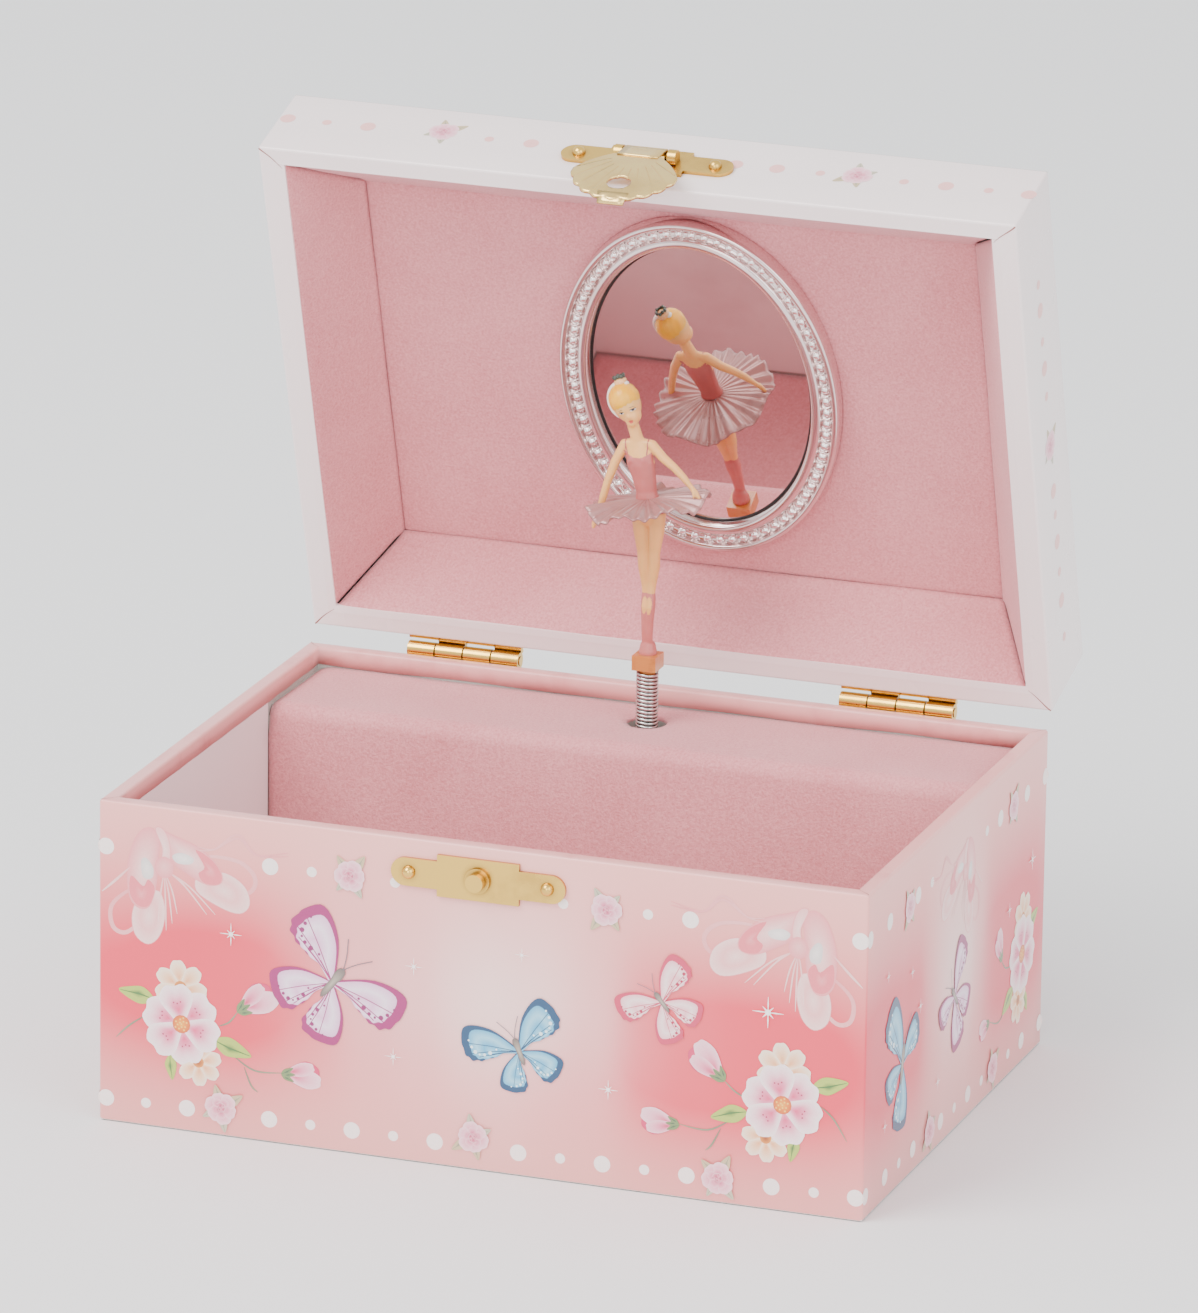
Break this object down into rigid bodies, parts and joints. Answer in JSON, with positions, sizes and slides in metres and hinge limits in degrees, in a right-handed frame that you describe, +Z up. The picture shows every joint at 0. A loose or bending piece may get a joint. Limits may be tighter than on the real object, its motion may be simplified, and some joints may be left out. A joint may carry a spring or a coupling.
{
  "type": "wind up music box",
  "caption": "Wind up music box with a hinged lid, oval mirror, velvet-lined compartment, hasp catch and a ballerina that turns on a flexible spring over a geared movement",
  "frame": {"origin": "on the table, at the middle of the base's footprint", "axes": "+Z up, front with the catch towards -Y, +X to the right; the lid stands open"},
  "size_m": [0.15, 0.1317, 0.1741],
  "materials": {
    "greyboard": "uncoated",
    "printed_paper": "gloss laminated print",
    "lid_paper": "gloss laminated print",
    "liner_paper": "plain smooth",
    "pink_velvet": "short flock",
    "plated_brass": "bright plated",
    "zinc_casting": "as cast",
    "bright_steel": "bright",
    "cut_brass": "turned",
    "white_nylon": "moulded",
    "silvered_plastic": "vacuum metallised",
    "mirror_glass": "silvered",
    "amber_plastic": "moulded",
    "painted_figure": "hand painted",
    "pearl_tutu": "pearl"
  },
  "bodies": {
    "base": {"base_front_wall": "greyboard", "base_back_wall": "greyboard", "base_left_wall": "greyboard", "base_right_wall": "greyboard", "base_floor": "greyboard", "base_bottom_sheet": "liner_paper", "base_wrap": "printed_paper", "compartment_liner": "liner_paper", "compartment_floor_pad": "pink_velvet", "velvet_cover": "pink_velvet", "partition_board": "greyboard", "deck_board": "greyboard", "left_hinge_base_leaf": "plated_brass", "right_hinge_base_leaf": "plated_brass", "hinge_pins": "plated_brass", "hinge_base_nails": "plated_brass", "catch_plate": "plated_brass", "catch_stud": "plated_brass", "catch_nails": "plated_brass", "movement_bedplate": "zinc_casting", "movement_screws": "bright_steel", "barrel_bridge": "bright_steel", "click_spring": "bright_steel", "governor_frame": "bright_steel", "comb": "bright_steel"},
    "lid": {"lid_top_board": "greyboard", "lid_front_wall": "greyboard", "lid_back_wall": "greyboard", "lid_left_wall": "greyboard", "lid_right_wall": "greyboard", "lid_wrap": "lid_paper", "lid_lining_front": "pink_velvet", "lid_lining_right": "pink_velvet", "lid_lining_back": "pink_velvet", "lid_lining_left": "pink_velvet", "lid_lining_panel": "pink_velvet", "mirror_frame": "silvered_plastic", "mirror_glass": "mirror_glass", "left_hinge_lid_leaf": "plated_brass", "right_hinge_lid_leaf": "plated_brass", "hinge_lid_nails": "plated_brass", "hasp_plate": "plated_brass", "hasp_pin": "plated_brass", "hasp_nails": "plated_brass"},
    "hasp": {"hasp_shell": "plated_brass"},
    "winder": {"winding_arbor": "bright_steel", "winding_key": "bright_steel"},
    "spring_drum": {"spring_barrel": "cut_brass", "mainspring": "bright_steel"},
    "cylinder": {"cylinder_arbor": "bright_steel", "cylinder_pinion": "cut_brass", "music_cylinder": "cut_brass", "cylinder_wheel": "cut_brass"},
    "transfer": {"transfer_arbor": "bright_steel", "transfer_wheel": "white_nylon"},
    "governor": {"governor_worm": "cut_brass"},
    "spring": {"flex_spring": "bright_steel"},
    "ballerina": {"figure_block": "amber_plastic", "ballerina_figure": "painted_figure", "ballerina_tutu": "pearl_tutu"}
  },
  "joints": [
    {"name": "lid_hinge", "type": "hinge", "parent": "base", "child": "lid", "pos_m": [0, 0.05645, 0.06275], "axis": [-1, 0, 0], "range_deg": [-73.3, 0]},
    {"name": "hasp_flip", "type": "hinge", "parent": "lid", "child": "hasp", "pos_m": [0, 0.0327, 0.17235], "axis": [-1, 0, 0], "range_deg": [-5.5, 150]},
    {"name": "key_wind", "type": "hinge", "parent": "base", "child": "winder", "pos_m": [-0.001, 0.05365, 0.0155], "axis": [0, 1, 0], "range_deg": [0, 1260]},
    {"name": "cylinder_spin", "type": "hinge", "parent": "base", "child": "cylinder", "pos_m": [-0.001, 0.0405, 0.0264], "axis": [0, 0, 1], "continuous": true},
    {"name": "spring_drum_spin", "type": "hinge", "parent": "base", "child": "spring_drum", "pos_m": [-0.001, 0.0284, 0.0155], "axis": [0, 1, 0], "continuous": true},
    {"name": "transfer_spin", "type": "hinge", "parent": "base", "child": "transfer", "pos_m": [0.0085, 0.0405, 0.0498], "axis": [0, 0, 1], "continuous": true},
    {"name": "governor_spin", "type": "hinge", "parent": "base", "child": "governor", "pos_m": [0.01285, 0.0405, 0.0498], "axis": [0, 1, 0], "continuous": true},
    {"name": "spring_flex", "type": "hinge", "parent": "base", "child": "spring", "pos_m": [-0.001, 0.0405, 0.063], "axis": [1, 0, 0], "range_deg": [0, 95], "deforming": ["flex_spring"]},
    {"name": "ballerina_spin", "type": "hinge", "parent": "spring", "child": "ballerina", "pos_m": [-0.001, 0.0405, 0.0695], "axis": [0, 0, 1], "continuous": true}
  ],
  "couplings": [
    {"joint": "spring_flex", "follows": "lid_hinge", "ratio": -1.22},
    {"joint": "spring_drum_spin", "follows": "cylinder_spin", "ratio": 0.4},
    {"joint": "transfer_spin", "follows": "cylinder_spin", "ratio": -3.75},
    {"joint": "governor_spin", "follows": "cylinder_spin", "ratio": 45},
    {"joint": "ballerina_spin", "follows": "cylinder_spin", "ratio": 1}
  ]
}
